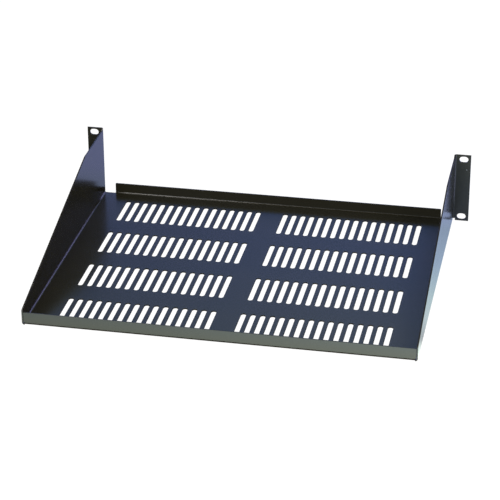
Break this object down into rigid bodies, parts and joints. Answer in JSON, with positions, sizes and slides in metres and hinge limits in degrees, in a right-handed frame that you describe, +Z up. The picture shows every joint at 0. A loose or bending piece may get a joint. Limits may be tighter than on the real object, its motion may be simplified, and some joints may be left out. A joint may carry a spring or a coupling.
{
  "type": "cantilever rack shelf",
  "caption": "Vented cantilever shelf folded from one steel sheet, with tapered side walls and slotted ears for a 19 inch rack.",
  "frame": {"origin": "under the middle of the tray, level with the underside of the floor, half way between the free end's lip and the ears' back face", "axes": "+X to the right as seen from the free end, +Y from the free end towards the rack ears, +Z up"},
  "size_m": [0.4826, 0.362, 0.0889],
  "materials": {
    "powder_coat": "semi-gloss near-black powder coat with a slight navy cast"
  },
  "bodies": {
    "root": {"shelf": "powder_coat"}
  },
  "joints": []
}
